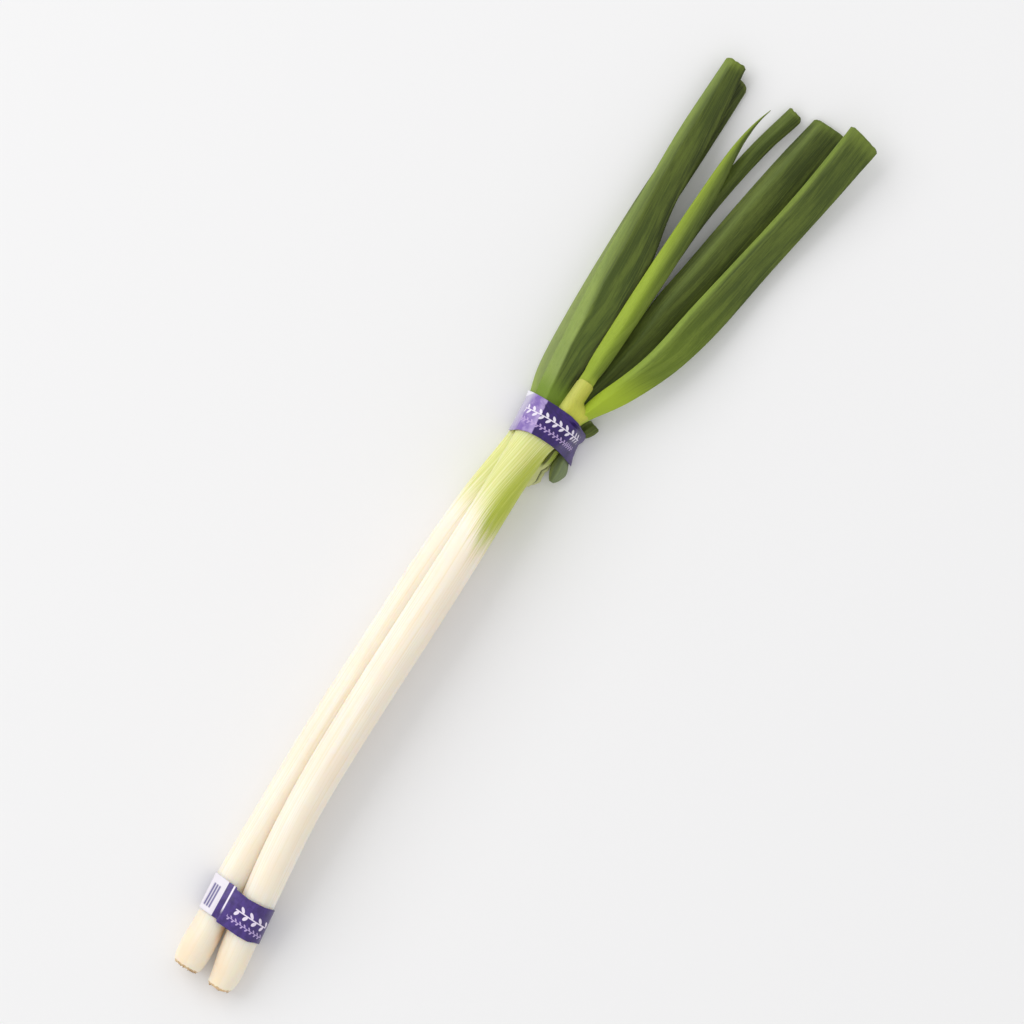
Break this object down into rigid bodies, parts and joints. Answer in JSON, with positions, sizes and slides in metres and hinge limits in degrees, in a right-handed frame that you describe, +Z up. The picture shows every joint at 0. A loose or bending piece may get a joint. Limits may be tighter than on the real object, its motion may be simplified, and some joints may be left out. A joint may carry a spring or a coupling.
{
  "type": "pair of long leeks held by two tapes",
  "caption": "Long white leek stems with trimmed green tube leaves, lying flat, held together near the root and at the neck by printed tapes.",
  "frame": {"origin": "bottom centre of the bounding box, on the surface the bundle lies on", "axes": "+X along the bundle from the roots to the leaf tips, +Z up"},
  "size_m": [0.588, 0.0974, 0.0359],
  "materials": {
    "stem_skin": "smooth moist plant skin",
    "pale_sheath": "smooth moist plant skin",
    "leaf_green": "satin waxy leaf",
    "leaf_lime": "satin waxy leaf",
    "leaf_dark": "satin waxy leaf",
    "tape_film": "glossy printed film"
  },
  "bodies": {
    "root": {"stem_front": "stem_skin", "stem_back": "stem_skin", "sheath_mouth": "pale_sheath", "leaf_upper": "leaf_green", "leaf_upper_under": "leaf_green", "leaf_young": "leaf_lime", "leaf_inner": "leaf_green", "leaf_middle": "leaf_dark", "leaf_lower": "leaf_green", "leaf_trimmed": "leaf_dark", "tape_root": "tape_film", "tape_neck": "tape_film"}
  },
  "joints": []
}
